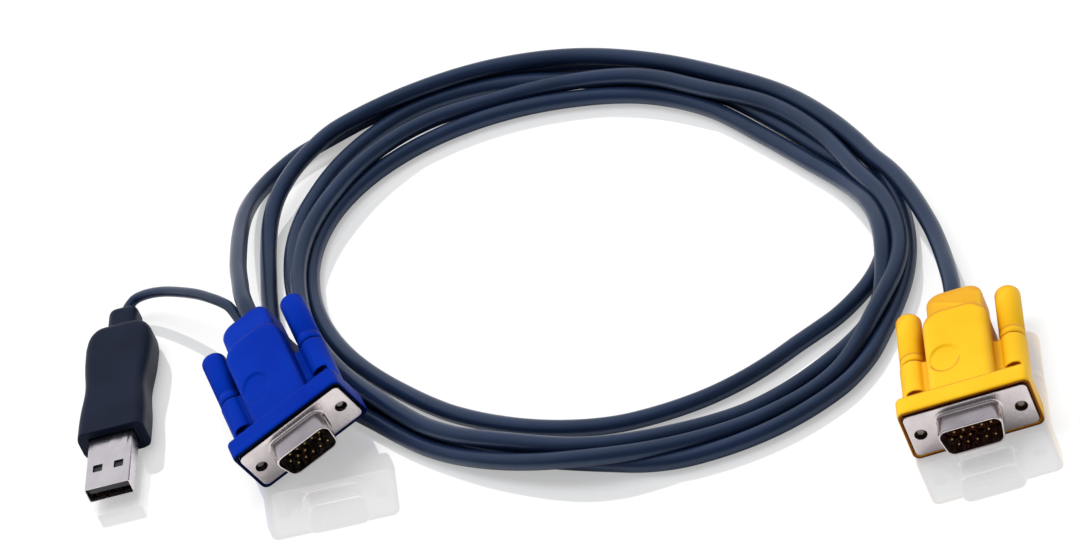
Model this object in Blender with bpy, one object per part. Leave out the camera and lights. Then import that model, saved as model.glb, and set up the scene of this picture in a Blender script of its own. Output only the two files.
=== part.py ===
"""A KVM cable: two 15-pin video plugs with moulded hoods and thumbscrews, a USB plug, and the coiled cable.

Metres, +Z up. The origin is on the floor under the yellow hood's lip, and that plug points along -Y.
"""

import math

import bmesh
import bpy
from mathutils import Matrix, Vector

# Clearance between pieces that touch, and between a moving piece and what it runs in
GAP = 0.0003

# Metal shell of a 15-pin video plug
SCREW_SPACING = 0.02499
FLANGE_EAR = 0.002905
FLANGE_WIDTH = SCREW_SPACING + 2 * FLANGE_EAR
FLANGE_HEIGHT = 0.0125
FLANGE_THICK = 0.0008
FLANGE_CORNER = 0.0012
SHELL_WIDTH = 0.0169
SHELL_HEIGHT = 0.00836
SHELL_WALL = 0.0005
SHELL_DEPTH = 0.0060
SHELL_CORNER = 0.0024
SHELL_SLOPE = math.radians(10.0)
SCREW_HOLE = 0.0034
REAR_PLATE_THICK = 0.0005
REAR_COLLAR_WALL = 0.0004
REAR_COLLAR_DEPTH = 0.0034

# Contacts
PIN_DIAMETER = 0.00076
PIN_PITCH = 0.00229
PIN_ROW_PITCH = 0.00198
PIN_ROW_SHIFT = 0.00057
PIN_ROWS = 3
PINS_IN_ROW = 5
PIN_LEFT_OUT = 9
PIN_TIP_SET_BACK = 0.0010
PIN_TAIL = 0.0015
INSULATOR_DEPTH = 0.0050

# Moulded hood
LIP_SIDE = 0.0011
LIP_WIDTH = FLANGE_WIDTH + 2 * LIP_SIDE
LIP_HEIGHT = 0.0155
LIP_DEPTH = 0.0057
LIP_CORNER = 0.0018
BODY_WIDTH = 0.0162
BODY_HEIGHT = 0.0140
BODY_END = 0.0355
BODY_CORNER = 0.0022
REAR_WIDTH = 0.0140
REAR_HEIGHT = 0.0104
REAR_END = 0.0450
REAR_CORNER = 0.0030
SLEEVE_DIAMETER = 0.0068
SLEEVE_END = 0.0237
WEB_HEIGHT = 0.0044
POCKET_WIDTH = 0.0050
POCKET_END = 0.0135
CAVITY_WIDTH = 0.0138
CAVITY_HEIGHT = 0.0094
CAVITY_END = 0.0325
GLAND_DEPTH = 0.0050

# Thumbscrews
KNOB_DIAMETER = 0.0064
KNOB_LENGTH = 0.0180
KNOB_ROUND = 0.0012
KNOB_BORE_DEPTH = 0.0120
SCREW_DIAMETER = 0.0028
SCREW_SET_BACK = 0.0010
SCREW_TIP_CHAMFER = 0.0004

# USB plug
USB_SHELL_WIDTH = 0.0120
USB_SHELL_HEIGHT = 0.0045
USB_SHELL_LENGTH = 0.01875
USB_SHELL_WALL = 0.0003
USB_SHELL_HELD = 0.0090
USB_WINDOW = 0.0025
USB_WINDOW_SPACING = 0.0056
USB_WINDOW_SET_BACK = 0.0060
USB_TONGUE_HEIGHT = 0.00195
USB_TONGUE_SET_BACK = 0.0008
USB_CONTACT_WIDTH = 0.0010
USB_CONTACT_THICK = 0.0003
USB_CONTACT_LENGTH = 0.0080
USB_CONTACT_PITCHES = (-0.0035, -0.0010, 0.0010, 0.0035)
USB_GRIP_WIDTH = 0.0180
USB_GRIP_THICK = 0.0090
USB_GRIP_LENGTH = 0.0415
USB_GRIP_CORNER = 0.0024
USB_NECK_WIDTH = 0.0078
USB_NECK_THICK = 0.0066
USB_NECK_LENGTH = 0.0060

# Cable
CABLE_DIAMETER = 0.0044
USB_CABLE_DIAMETER = 0.0027
LAYER_STEP = 0.0038
TUBE_STEP = 2.6

# Where the plugs lie: (flange front or shell root, turn about Z, nose-down tilt, roll)
YELLOW_PLACE = (Vector((0.0, -0.0030, LIP_HEIGHT / 2)), 0.0, 0.0, 0.0)
BLUE_PLACE = (
    Vector((-0.16701, 0.05716, 0.0116)),
    math.radians(15.2),
    math.radians(6.2),
    math.radians(-15.8),
)
USB_PLACE = (Vector((-0.2193, 0.0851, USB_GRIP_THICK / 2)), math.radians(-3.6), 0.0, 0.0)

# Where the cables enter the hoods: (across, up) from the plug's axis
YELLOW_ENTRY = (-0.0008, 0.0)
BLUE_ENTRY = (0.0016, 0.0010)
BLUE_USB_ENTRY = (-0.0021, -0.0020)

# The coil's inner edge is an oval lying on the floor
OVAL_CENTRE = Vector((-0.0942, 0.1051, 0.0))
OVAL_LONG = 0.0768
OVAL_SHORT = 0.0531
OVAL_TURN = math.radians(-36.6)

# How the cable lies in the coil, pass by pass, in its own order of travel:
# (angle round the oval, how far outside its edge in mm, layer). The angle falls all the way.
FIRST_LAY = (
    (165, 28.0, 0), (150, 24.6, 0), (135, 22.4, 0), (120, 19.5, 0), (105, 17.0, 0), (90, 15.2, 0), (60, 11.6, 0),
    (45, 12.2, 0), (30, 12.8, 0), (15, 14.7, 0), (0, 17.6, 0), (-15, 23.2, 0), (-45, 23.0, 0),
    (-60, 18.3, 0), (-75, 15.0, 0), (-90, 12.0, 0), (-105, 9.3, 0), (-120, 8.6, 0), (-150, 7.8, 0),
    (-180, 13.5, 0), (-195, 17.5, 0), (-210, 20.0, 0), (-225, 17.6, 0), (-240, 13.2, 0),
    (-255, 11.3, 0), (-270, 9.6, 0), (-285, 6.0, 0), (-300, 5.0, 0), (-315, 7.4, 0), (-330, 8.0, 0),
    (-345, 7.4, 0), (-360, 4.0, 0), (-375, 0.9, 0), (-405, 4.0, 0), (-420, 5.6, 0), (-450, 4.4, 0),
    (-465, 2.9, 0), (-480, 2.6, 0), (-510, 3.2, 0), (-540, 4.4, 0), (-570, 5.1, 0), (-600, 5.9, 0),
    (-615, 6.1, 0), (-630, 4.2, 0), (-645, 0.8, 0), (-660, 0.2, 0), (-675, 2.9, 0.2), (-690, 6.3, 0.9),
    (-705, 9.5, 1), (-720, 13.1, 0.1), (-735, 13.2, 0), (-750, 14.0, 0), (-765, 15.0, 0.5),
    (-780, 16.1, 1), (-795, 14.3, 1.1), (-810, 13.4, 1), (-825, 10.0, 1.05), (-840, 8.2, 1),
    (-855, 6.8, 1), (-870, 5.6, 1), (-900, 5.6, 1), (-915, 7.4, 0.9), (-930, 9.3, 0.7),
    (-945, 9.7, 0.4), (-960, 9.6, 0.7), (-975, 9.2, 1), (-990, 6.9, 1), (-1005, 7.5, 1),
    (-1020, 6.8, 1), (-1035, 6.4, 1), (-1050, 10.4, 1), (-1065, 13.8, 1), (-1080, 15.3, 1),
    (-1095, 18.2, 0.1), (-1110, 18.7, 0.1), (-1125, 19.8, 0.6), (-1140, 20.5, 1), (-1155, 19.0, 0.5),
    (-1170, 16.7, 0), (-1185, 13.9, 0), (-1196, 13.9, 0),
)
LAST_LAY = (
    (165, 24.8, 1), (150, 22.3, 1), (135, 20.5, 1), (120, 18.3, 1), (105, 15.3, 1), (90, 12.8, 1), (75, 12.2, 1),
    (60, 11.2, 1.15), (45, 12.0, 1), (38, 14.3, 1), (30, 16.6, 1), (22, 20.2, 0.95),
)
COIL_STEP_DEGREES = 6
COIL_END_DEGREES = 0.02

# The cable off the coil, in millimetres: blue hood to coil, coil to coil under the blue hood, coil to
# yellow hood, and the thin cable between the blue hood and the USB plug.
BLUE_LEAD = (
    (-180.0, 110.7, 17.6), (-180.9, 117.4, 16.4), (-182.0, 125.5, 14.6), (-182.8, 135.9, 12.0),
    (-183.3, 146.4, 9.2), (-183.0, 156.9, 6.5), (-181.6, 165.1, 4.2), (-178.9, 171.5, 2.7),
    (-175.4, 175.9, 2.2), (-169.5, 180.3, 2.2),
)
UNDER_BLUE = (
    (-170.4, 92.5, 2.2), (-174.8, 103.0, 2.2), (-177.2, 113.5, 2.2), (-178.1, 125.0, 2.3),
    (-178.2, 135.0, 2.5), (-178.0, 144.0, 3.0), (-177.0, 153.0, 4.2), (-175.1, 159.7, 5.3),
    (-172.6, 164.9, 6.0), (-169.3, 170.6, 6.1), (-165.0, 175.8, 6.1),
)
YELLOW_LEAD = (
    (-3.9, 71.0, 5.9), (-2.6, 63.5, 6.4), (-1.7, 57.0, 7.1), (-1.0, 50.5, 7.6),
)
USB_LEAD = (
    (-182.5, 106.8, 14.9), (-184.3, 110.6, 15.4), (-186.8, 113.9, 15.2), (-189.7, 117.5, 14.4),
    (-192.8, 121.2, 13.4), (-196.2, 124.8, 12.2), (-200.7, 129.3, 10.4), (-204.5, 132.6, 9.0),
    (-208.2, 135.2, 7.6), (-211.4, 136.9, 6.3), (-214.0, 137.3, 5.3),
)

objects_made = {}
model = bpy.data.collections.new("kvm_cable")
cutters = bpy.data.collections.new("cutters")


def clear_scene():
    for obj in list(bpy.data.objects):
        bpy.data.objects.remove(obj)
    bpy.context.scene.collection.children.link(model)
    bpy.context.scene.collection.children.link(cutters)
    cutters.hide_render = True


def material(name, colour, roughness, metallic=0.0):
    found = bpy.data.materials.get(name) or bpy.data.materials.new(name)
    found.use_nodes = True
    shader = found.node_tree.nodes["Principled BSDF"]
    shader.inputs["Base Color"].default_value = (*colour, 1.0)
    shader.inputs["Roughness"].default_value = roughness
    shader.inputs["Metallic"].default_value = metallic
    return found


MATERIALS = {
    "yellow": ("yellow_plastic", (1.0, 0.62, 0.02), 0.45, 0.0),
    "blue": ("blue_plastic", (0.01, 0.05, 0.55), 0.45, 0.0),
    "nickel": ("nickel_plate", (0.75, 0.72, 0.70), 0.28, 1.0),
    "gold": ("gold_plate", (0.85, 0.62, 0.22), 0.25, 1.0),
    "steel": ("zinc_plated_steel", (0.6, 0.6, 0.6), 0.35, 1.0),
    "black": ("black_insulator", (0.012, 0.012, 0.014), 0.5, 0.0),
    "brown": ("brown_insulator", (0.10, 0.018, 0.010), 0.5, 0.0),
    "white": ("white_core", (0.75, 0.74, 0.70), 0.6, 0.0),
    "navy": ("navy_jacket", (0.012, 0.018, 0.045), 0.42, 0.0),
    "slate": ("slate_grip", (0.022, 0.026, 0.05), 0.55, 0.0),
}


def new_object(name, bm, group=model):
    mesh = bpy.data.meshes.new(name)
    bm.to_mesh(mesh)
    bm.free()
    obj = bpy.data.objects.new(name, mesh)
    group.objects.link(obj)
    return obj


def finish(obj, look, parent=None, smooth_angle=35.0):
    """Gives the piece its material and its parent, and shades its round sides smooth."""
    obj.data.materials.clear()
    obj.data.materials.append(material(*MATERIALS[look]))
    if obj.type == "MESH":
        obj.data.shade_smooth()
        obj.data.set_sharp_from_angle(angle=math.radians(smooth_angle))
    obj.parent = parent
    objects_made[obj.name] = obj
    return obj


def box(name, low, high, bevel=0.0, segments=3, group=model, along=None):
    """A box between two corners. A bevel rounds every edge, or only those that run along one axis."""
    bm = bmesh.new()
    size = [h - l for l, h in zip(low, high)]
    middle = [(h + l) / 2 for l, h in zip(low, high)]
    bmesh.ops.create_cube(bm, size=1.0, matrix=Matrix.Translation(middle) @ Matrix.Diagonal((*size, 1.0)))
    if bevel:
        edges = [
            e for e in bm.edges
            if along is None or abs((e.verts[1].co - e.verts[0].co).normalized()[along]) > 0.9
        ]
        bmesh.ops.bevel(
            bm, geom=edges, offset=bevel, offset_type="OFFSET", segments=segments, profile=0.5,
            affect="EDGES", clamp_overlap=True, material=-1,
        )
    return new_object(name, bm, group)


def rod(name, start, end, diameter, sides=16, group=model, chamfer=0.0):
    """A round bar along Y between two points that share x and z."""
    bm = bmesh.new()
    length = end[1] - start[1]
    middle = ((start[0] + end[0]) / 2, (start[1] + end[1]) / 2, (start[2] + end[2]) / 2)
    turn = Matrix.Translation(middle) @ Matrix.Rotation(math.radians(90), 4, "X")
    bmesh.ops.create_cone(
        bm, cap_ends=True, segments=sides, radius1=diameter / 2, radius2=diameter / 2,
        depth=length, matrix=turn,
    )
    if chamfer:
        front = [e for e in bm.edges if all(abs(v.co.y - start[1]) < 1e-6 for v in e.verts)]
        bmesh.ops.bevel(
            bm, geom=front, offset=chamfer, offset_type="OFFSET", segments=1, profile=0.5,
            affect="EDGES", material=-1,
        )
    return new_object(name, bm, group)


def d_outline(width, height, corner, steps=3):
    """The plug's D: wide side up, sides sloping in to the bottom, round corners, anticlockwise in x and z."""
    narrow = width - 2 * height * math.tan(SHELL_SLOPE)
    corners = [
        (width / 2, height / 2), (-width / 2, height / 2), (-narrow / 2, -height / 2), (narrow / 2, -height / 2),
    ]
    outline = []
    for index, here in enumerate(corners):
        here = Vector(here)
        before = (Vector(corners[index - 1]) - here).normalized()
        after = (Vector(corners[(index + 1) % 4]) - here).normalized()
        half = before.angle(after) / 2
        reach = corner / math.tan(half)
        centre = here + (before + after).normalized() * corner / math.sin(half)
        first = here + before * reach - centre
        last = here + after * reach - centre
        turn = first.angle_signed(last)
        for step in range(steps + 1):
            outline.append(centre + Matrix.Rotation(-turn * step / steps, 2) @ first)
    return outline


def d_block(name, width, height, corner, front, back, group=model):
    """A solid with the D outline, from y = front to y = back."""
    bm = bmesh.new()
    points = d_outline(width, height, corner)
    face = bm.faces.new([bm.verts.new((p.x, front, p.y)) for p in points])
    made = bmesh.ops.extrude_face_region(bm, geom=[face])
    moved = [v for v in made["geom"] if isinstance(v, bmesh.types.BMVert)]
    bmesh.ops.translate(bm, verts=moved, vec=(0, back - front, 0))
    bmesh.ops.recalc_face_normals(bm, faces=bm.faces)
    return new_object(name, bm, group)


def combine(obj, others, operation):
    """Cuts the others from the piece or joins them to it, then bakes the result."""
    for other in others:
        step = obj.modifiers.new(other.name, "BOOLEAN")
        step.operation = operation
        step.solver = "EXACT"
        step.object = other
    graph = bpy.context.evaluated_depsgraph_get()
    mesh = bpy.data.meshes.new_from_object(obj.evaluated_get(graph))
    obj.modifiers.clear()
    obj.data = mesh
    for other in others:
        bpy.data.objects.remove(other)
    return obj


def cut(obj, others):
    return combine(obj, others, "DIFFERENCE")


def join(obj, others):
    return combine(obj, others, "UNION")


def plug_frame(name, place):
    """An empty at a plug's place, with -Y as its mating direction. Its pieces are its children."""
    location, turn, nose_down, roll = place
    frame = bpy.data.objects.new(name, None)
    frame.location = location
    frame.rotation_mode = "YXZ"
    frame.rotation_euler = (nose_down, roll, turn)
    model.objects.link(frame)
    return frame


def pin_places():
    """(number, x, z) of each contact, row by row from the wide side."""
    for row in range(PIN_ROWS):
        shift = PIN_ROW_SHIFT if row % 2 == 0 else -PIN_ROW_SHIFT
        for column in range(PINS_IN_ROW):
            number = row * PINS_IN_ROW + column + 1
            if number != PIN_LEFT_OUT:
                x = (column - (PINS_IN_ROW - 1) / 2) * PIN_PITCH + shift
                yield number, x, (1 - row) * PIN_ROW_PITCH


# Depths behind the flange's front face, worked out from the sizes above
FACE_FRONT = GAP
REAR_PLATE_FRONT = FLANGE_THICK + GAP
REAR_PLATE_BACK = REAR_PLATE_FRONT + REAR_PLATE_THICK
LIP_BACK = FACE_FRONT + LIP_DEPTH
INSULATOR_BACK = INSULATOR_DEPTH
PIN_BACK = INSULATOR_BACK + PIN_TAIL
CORE_FRONT = PIN_BACK + GAP
KNOB_FRONT = SLEEVE_END + GAP
KNOB_BACK = KNOB_FRONT + KNOB_LENGTH
INNER_WIDTH = SHELL_WIDTH - 2 * SHELL_WALL
INNER_HEIGHT = SHELL_HEIGHT - 2 * SHELL_WALL
BLOCK_WIDTH = INNER_WIDTH - 2 * GAP
BLOCK_HEIGHT = INNER_HEIGHT - 2 * GAP
BLOCK_CORNER = SHELL_CORNER - SHELL_WALL - GAP
COLLAR_WIDTH = BLOCK_WIDTH + 2 * GAP + 2 * REAR_COLLAR_WALL
COLLAR_HEIGHT = BLOCK_HEIGHT + 2 * GAP + 2 * REAR_COLLAR_WALL
COLLAR_BACK = REAR_PLATE_BACK + REAR_COLLAR_DEPTH


def screw_holes(back, diameter, front=-0.001):
    return [
        rod(f"screw_hole_{side}", (side * SCREW_SPACING / 2, front, 0), (side * SCREW_SPACING / 2, back, 0),
            diameter, group=cutters)
        for side in (-1, 1)
    ]


def make_hood(prefix, look, frame, entries):
    """The moulded hood: lip, body, narrower rear block, two screw sleeves on a web, pockets and bores."""
    half_lip = (LIP_WIDTH / 2, LIP_HEIGHT / 2)
    hood = box(
        f"{prefix}_hood", (-half_lip[0], FACE_FRONT, -half_lip[1]), (half_lip[0], LIP_BACK, half_lip[1]),
        LIP_CORNER, along=1,
    )
    overlap = LIP_DEPTH / 2
    body = box(
        "body", (-BODY_WIDTH / 2, LIP_BACK - overlap, -BODY_HEIGHT / 2), (BODY_WIDTH / 2, BODY_END, BODY_HEIGHT / 2),
        BODY_CORNER,
    )
    rear = box(
        "rear", (-REAR_WIDTH / 2, BODY_END - 2 * BODY_CORNER, -REAR_HEIGHT / 2), (REAR_WIDTH / 2, REAR_END, REAR_HEIGHT / 2),
        REAR_CORNER,
    )
    axis = SCREW_SPACING / 2
    sleeves = [
        rod(f"sleeve_{side}", (side * axis, LIP_BACK - overlap, 0), (side * axis, SLEEVE_END, 0), SLEEVE_DIAMETER, 20)
        for side in (-1, 1)
    ]
    web = box(
        "web", (-axis, LIP_BACK - overlap, -WEB_HEIGHT / 2), (axis, SLEEVE_END - GAP, WEB_HEIGHT / 2),
    )
    join(hood, [body, rear, web, *sleeves])
    pockets = []
    slot_outer = axis - SLEEVE_DIAMETER / 2 + POCKET_WIDTH / 2
    for side in (-1, 1):
        for up in (-1, 1):
            near, far = sorted((side * BODY_WIDTH / 2, side * slot_outer))
            low, high = sorted((up * WEB_HEIGHT / 2, up * LIP_HEIGHT))
            pockets.append(box(
                f"pocket_{side}_{up}", (near, LIP_BACK + GAP, low), (far, POCKET_END, high), group=cutters,
            ))
    recess = box(
        "plate_recess",
        (-FLANGE_WIDTH / 2 - GAP, -0.001, -FLANGE_HEIGHT / 2 - GAP),
        (FLANGE_WIDTH / 2 + GAP, REAR_PLATE_BACK + GAP, FLANGE_HEIGHT / 2 + GAP), group=cutters,
    )
    collar_room = box(
        "collar_room",
        (-COLLAR_WIDTH / 2 - GAP, 0, -COLLAR_HEIGHT / 2 - GAP),
        (COLLAR_WIDTH / 2 + GAP, max(COLLAR_BACK, INSULATOR_BACK) + GAP, COLLAR_HEIGHT / 2 + GAP), group=cutters,
    )
    cavity = box(
        "cavity", (-CAVITY_WIDTH / 2, 0, -CAVITY_HEIGHT / 2), (CAVITY_WIDTH / 2, CAVITY_END, CAVITY_HEIGHT / 2),
        group=cutters,
    )
    glands = [
        rod(f"gland_{index}", (x, REAR_END - GLAND_DEPTH, z), (x, REAR_END + 0.001, z), diameter + 2 * GAP, 12, cutters)
        for index, (x, z, diameter) in enumerate(entries)
    ]
    cut(hood, [recess, collar_room, cavity, *screw_holes(SLEEVE_END + 0.001, SCREW_HOLE), *pockets, *glands])
    finish(hood, look, frame)


def make_shells(prefix, frame):
    """The two metal halves: the front plate with the D shell, and the rear plate with its collar."""
    half = (FLANGE_WIDTH / 2, FLANGE_HEIGHT / 2)
    front = box(
        f"{prefix}_front_shell", (-half[0], 0, -half[1]), (half[0], FLANGE_THICK, half[1]), FLANGE_CORNER, 2, along=1,
    )
    skirt = d_block("skirt", SHELL_WIDTH, SHELL_HEIGHT, SHELL_CORNER, -SHELL_DEPTH, FLANGE_THICK / 2)
    join(front, [skirt])
    mouth = d_block(
        "mouth", INNER_WIDTH, INNER_HEIGHT, SHELL_CORNER - SHELL_WALL, -SHELL_DEPTH - 0.001, FLANGE_THICK + 0.001, cutters,
    )
    cut(front, [mouth, *screw_holes(FLANGE_THICK + 0.001, SCREW_HOLE)])
    finish(front, "nickel", frame)

    rear = box(
        f"{prefix}_rear_shell", (-half[0], REAR_PLATE_FRONT, -half[1]), (half[0], REAR_PLATE_BACK, half[1]),
        FLANGE_CORNER, 2, along=1,
    )
    collar = d_block(
        "collar", COLLAR_WIDTH, COLLAR_HEIGHT, BLOCK_CORNER + GAP + REAR_COLLAR_WALL,
        REAR_PLATE_FRONT + REAR_PLATE_THICK / 2, COLLAR_BACK,
    )
    join(rear, [collar])
    bore = d_block(
        "bore", BLOCK_WIDTH + 2 * GAP, BLOCK_HEIGHT + 2 * GAP, BLOCK_CORNER + GAP, 0, COLLAR_BACK + 0.001, cutters,
    )
    cut(rear, [bore, *screw_holes(REAR_PLATE_BACK + 0.001, SCREW_HOLE, REAR_PLATE_FRONT - GAP / 2)])
    finish(rear, "nickel", frame)


def make_insulator_and_pins(prefix, look, frame):
    """The insulator block with a hole for each contact, and the contacts."""
    block = d_block(f"{prefix}_insulator", BLOCK_WIDTH, BLOCK_HEIGHT, BLOCK_CORNER, 0, INSULATOR_BACK)
    holes = [
        rod(f"pin_hole_{number}", (x, -0.001, z), (x, INSULATOR_BACK + 0.001, z), PIN_DIAMETER + 2 * GAP, 8, cutters)
        for number, x, z in pin_places()
    ]
    cut(block, holes)
    finish(block, look, frame)
    for number, x, z in pin_places():
        tip = -SHELL_DEPTH + PIN_TIP_SET_BACK
        pin = rod(
            f"{prefix}_pin_{number:02d}", (x, tip, z), (x, PIN_BACK, z), PIN_DIAMETER, 8, chamfer=PIN_DIAMETER / 4,
        )
        finish(pin, "gold", frame)


def make_core(prefix, frame):
    """The inner moulding round the wires, behind the contacts."""
    core = box(
        f"{prefix}_core",
        (-CAVITY_WIDTH / 2 + GAP, CORE_FRONT, -CAVITY_HEIGHT / 2 + GAP),
        (CAVITY_WIDTH / 2 - GAP, CAVITY_END - GAP, CAVITY_HEIGHT / 2 - GAP),
    )
    finish(core, "white", frame)


def make_thumbscrews(prefix, look, frame):
    """A knob moulded round a steel screw on each side. Both turn on the screw's axis."""
    for side, word in ((-1, "left"), (1, "right")):
        axis = bpy.data.objects.new(f"{prefix}_{word}_axis", None)
        axis.location = (side * SCREW_SPACING / 2, 0, 0)
        axis.parent = frame
        model.objects.link(axis)
        knob = rod(f"{prefix}_knob_{word}", (0, KNOB_FRONT, 0), (0, KNOB_BACK, 0), KNOB_DIAMETER, 20)
        bm = bmesh.new()
        bm.from_mesh(knob.data)
        ends = [e for e in bm.edges if abs(e.verts[0].co.y - e.verts[1].co.y) < 1e-6 and e.verts[0].co.y > KNOB_FRONT + 1e-6]
        bmesh.ops.bevel(
            bm, geom=ends, offset=KNOB_ROUND, offset_type="OFFSET", segments=2, profile=0.5,
            affect="EDGES", material=-1,
        )
        bm.to_mesh(knob.data)
        bm.free()
        bore = rod(
            "knob_bore", (0, KNOB_FRONT - 0.001, 0), (0, KNOB_FRONT + KNOB_BORE_DEPTH, 0),
            SCREW_DIAMETER + 2 * GAP, 12, cutters,
        )
        cut(knob, [bore])
        finish(knob, look, axis)
        screw = rod(
            f"{prefix}_screw_{word}", (0, SCREW_SET_BACK, 0), (0, KNOB_FRONT + KNOB_BORE_DEPTH - GAP, 0),
            SCREW_DIAMETER, 12, chamfer=SCREW_TIP_CHAMFER,
        )
        finish(screw, "steel", axis)


def make_video_plug(prefix, look, insulator_look, place, entries):
    frame = plug_frame(f"{prefix}_plug", place)
    make_hood(prefix, look, frame, entries)
    make_shells(prefix, frame)
    make_insulator_and_pins(prefix, insulator_look, frame)
    make_core(prefix, frame)
    make_thumbscrews(prefix, look, frame)
    return frame


def make_usb_plug():
    """Grip with its neck, metal shell, tongue with four contacts, and the inner moulding."""
    frame = plug_frame("usb_plug", USB_PLACE)
    grip = box(
        "usb_grip", (-USB_GRIP_WIDTH / 2, 0, -USB_GRIP_THICK / 2), (USB_GRIP_WIDTH / 2, USB_GRIP_LENGTH, USB_GRIP_THICK / 2),
        USB_GRIP_CORNER, along=1,
    )
    neck_end = USB_GRIP_LENGTH + USB_NECK_LENGTH
    neck = box(
        "neck", (-USB_NECK_WIDTH / 2, USB_GRIP_LENGTH - 2 * USB_GRIP_CORNER, -USB_NECK_THICK / 2),
        (USB_NECK_WIDTH / 2, neck_end, USB_NECK_THICK / 2), USB_GRIP_CORNER, 2,
    )
    join(grip, [neck])
    shell_half = (USB_SHELL_WIDTH / 2, USB_SHELL_HEIGHT / 2)
    core_end = USB_GRIP_LENGTH * 0.7
    seat = box(
        "shell_seat", (-shell_half[0] - GAP, -0.001, -shell_half[1] - GAP),
        (shell_half[0] + GAP, USB_SHELL_HELD + GAP, shell_half[1] + GAP), group=cutters,
    )
    room = box(
        "core_room", (-shell_half[0] - GAP, 0, -shell_half[1] - GAP),
        (shell_half[0] + GAP, core_end + GAP, shell_half[1] + GAP), group=cutters,
    )
    gland = rod("usb_gland", (0, neck_end - GLAND_DEPTH, 0), (0, neck_end + 0.001, 0), USB_CABLE_DIAMETER + 2 * GAP, 12, cutters)
    cut(grip, [seat, room, gland])
    finish(grip, "slate", frame)

    shell = box(
        "usb_shell", (-shell_half[0], -USB_SHELL_LENGTH, -shell_half[1]), (shell_half[0], USB_SHELL_HELD, shell_half[1]),
        USB_SHELL_WALL, 2, along=1,
    )
    inner = (shell_half[0] - USB_SHELL_WALL, shell_half[1] - USB_SHELL_WALL)
    mouth = box(
        "usb_mouth", (-inner[0], -USB_SHELL_LENGTH - 0.001, -inner[1]), (inner[0], USB_SHELL_HELD + 0.001, inner[1]),
        group=cutters,
    )
    window_y = -USB_SHELL_LENGTH + USB_WINDOW_SET_BACK
    windows = [
        box(
            f"usb_window_{side}",
            (side * USB_WINDOW_SPACING / 2 - USB_WINDOW / 2, window_y, -shell_half[1] - 0.001),
            (side * USB_WINDOW_SPACING / 2 + USB_WINDOW / 2, window_y + USB_WINDOW, shell_half[1] + 0.001),
            group=cutters,
        )
        for side in (-1, 1)
    ]
    cut(shell, [mouth, *windows])
    finish(shell, "nickel", frame)

    tongue_top = inner[1] - GAP
    tongue_bottom = tongue_top - USB_TONGUE_HEIGHT
    tongue_front = -USB_SHELL_LENGTH + USB_TONGUE_SET_BACK
    tongue = box(
        "usb_tongue", (-inner[0] + GAP, tongue_front, tongue_bottom),
        (inner[0] - GAP, USB_SHELL_HELD, tongue_top),
    )
    finish(tongue, "black", frame)
    for index, x in enumerate(USB_CONTACT_PITCHES):
        contact = box(
            f"usb_contact_{index + 1}",
            (x - USB_CONTACT_WIDTH / 2, tongue_front + 0.001, tongue_bottom - GAP - USB_CONTACT_THICK),
            (x + USB_CONTACT_WIDTH / 2, tongue_front + 0.001 + USB_CONTACT_LENGTH, tongue_bottom - GAP),
        )
        finish(contact, "gold", frame)
    core = box(
        "usb_core", (-shell_half[0], USB_SHELL_HELD + GAP, -shell_half[1]), (shell_half[0], core_end, shell_half[1]),
    )
    finish(core, "white", frame)
    return frame


def on_oval(angle, outside):
    """A point outside the coil's inner oval, in metres."""
    turn = math.radians(angle)
    normal = Vector((OVAL_SHORT * math.cos(turn), OVAL_LONG * math.sin(turn), 0)).normalized()
    spot = Vector((OVAL_LONG * math.cos(turn), OVAL_SHORT * math.sin(turn), 0)) + outside * normal
    return OVAL_CENTRE + Matrix.Rotation(OVAL_TURN, 3, "Z") @ spot


def eased(lay, angle):
    """The offset and layer at an angle, on a smooth curve through the lay's own values."""
    index = 0
    while index < len(lay) - 2 and lay[index + 1][0] > angle:
        index += 1
    (a0, o0, l0), (a1, o1, l1) = lay[index], lay[index + 1]
    before = lay[max(index - 1, 0)]
    after = lay[min(index + 2, len(lay) - 1)]
    share = (angle - a0) / (a1 - a0)
    square, cube = share ** 2, share ** 3
    weights = (2 * cube - 3 * square + 1, cube - 2 * square + share, 3 * square - 2 * cube, cube - square)
    values = []
    for part, (v0, v1) in ((1, (o0, o1)), (2, (l0, l1))):
        slope0 = (v1 - before[part]) / (a1 - before[0]) * (a1 - a0)
        slope1 = (after[part] - v0) / (after[0] - a0) * (a1 - a0)
        values.append(weights[0] * v0 + weights[1] * slope0 + weights[2] * v1 + weights[3] * slope1)
    return values


def coil_angles(lay):
    steps = round((lay[0][0] - lay[-1][0]) / COIL_STEP_DEGREES)
    return [lay[0][0] + (lay[-1][0] - lay[0][0]) * step / steps for step in range(steps + 1)]


def coil_points(lay):
    """The cable's centre along one lay of the coil."""
    points = []
    for angle in coil_angles(lay):
        outside, layer = eased(lay, angle)
        point = on_oval(angle, outside / 1000)
        point.z = CABLE_DIAMETER / 2 + max(layer, 0) * LAYER_STEP
        points.append(point)
    return points


def in_metres(points):
    return [Vector(p) / 1000 for p in points]


def smooth_route(points, step):
    """Points about one step apart on a smooth curve through the given ones."""
    route = []
    for index in range(len(points) - 1):
        before = points[max(index - 1, 0)]
        start, end = points[index], points[index + 1]
        after = points[min(index + 2, len(points) - 1)]
        pieces = max(1, round((end - start).length / step))
        for piece in range(pieces):
            t = piece / pieces
            route.append(0.5 * (
                2 * start + (end - before) * t + (2 * before - 5 * start + 4 * end - after) * t ** 2
                + (3 * start - before - 3 * end + after) * t ** 3
            ))
    route.append(points[-1])
    return route


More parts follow.
